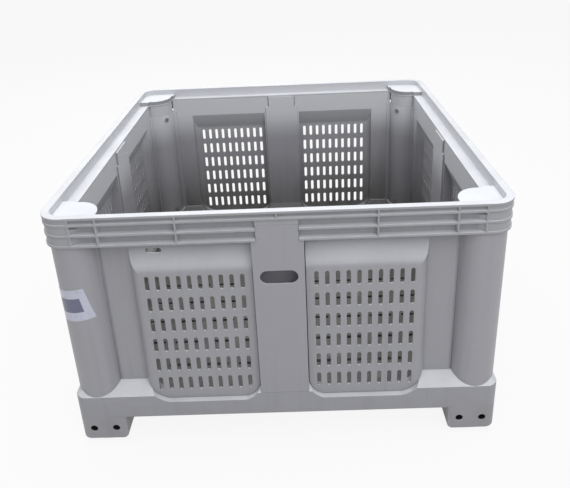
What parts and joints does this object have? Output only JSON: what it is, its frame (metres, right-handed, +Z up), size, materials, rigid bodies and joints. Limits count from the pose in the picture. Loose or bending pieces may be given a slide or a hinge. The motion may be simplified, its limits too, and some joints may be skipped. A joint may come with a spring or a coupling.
{
  "type": "fruit bin",
  "caption": "Square vented plastic harvest bin with a ribbed stacking rim, round corner columns, slotted side panels and corner feet that leave room for forklift tines.",
  "frame": {"origin": "on the floor, under the middle of the bin", "axes": "+Z up, front of the bin towards -Y, +X to the right seen from the front"},
  "size_m": [1.162, 1.162, 0.712],
  "materials": {
    "bin_plastic": "moulded satin grey",
    "label_film": "smooth white",
    "screw_steel": "zinc plated"
  },
  "bodies": {
    "root": {"base_frame": "bin_plastic", "floor_deck": "bin_plastic", "foot_front_left": "bin_plastic", "foot_front_right": "bin_plastic", "foot_back_right": "bin_plastic", "foot_back_left": "bin_plastic", "corner_post_front_left": "bin_plastic", "corner_post_front_right": "bin_plastic", "corner_post_back_right": "bin_plastic", "corner_post_back_left": "bin_plastic", "centre_post_front": "bin_plastic", "centre_post_right": "bin_plastic", "centre_post_back": "bin_plastic", "centre_post_left": "bin_plastic", "vent_panel_front_left": "bin_plastic", "vent_panel_front_right": "bin_plastic", "vent_panel_right_front": "bin_plastic", "vent_panel_right_back": "bin_plastic", "vent_panel_back_right": "bin_plastic", "vent_panel_back_left": "bin_plastic", "vent_panel_left_back": "bin_plastic", "vent_panel_left_front": "bin_plastic", "rim": "bin_plastic", "stacking_seat_front_left": "bin_plastic", "stacking_seat_front_right": "bin_plastic", "stacking_seat_back_right": "bin_plastic", "stacking_seat_back_left": "bin_plastic", "ticket_label": "label_film", "post_screws": "screw_steel", "foot_screws": "screw_steel"}
  },
  "joints": []
}
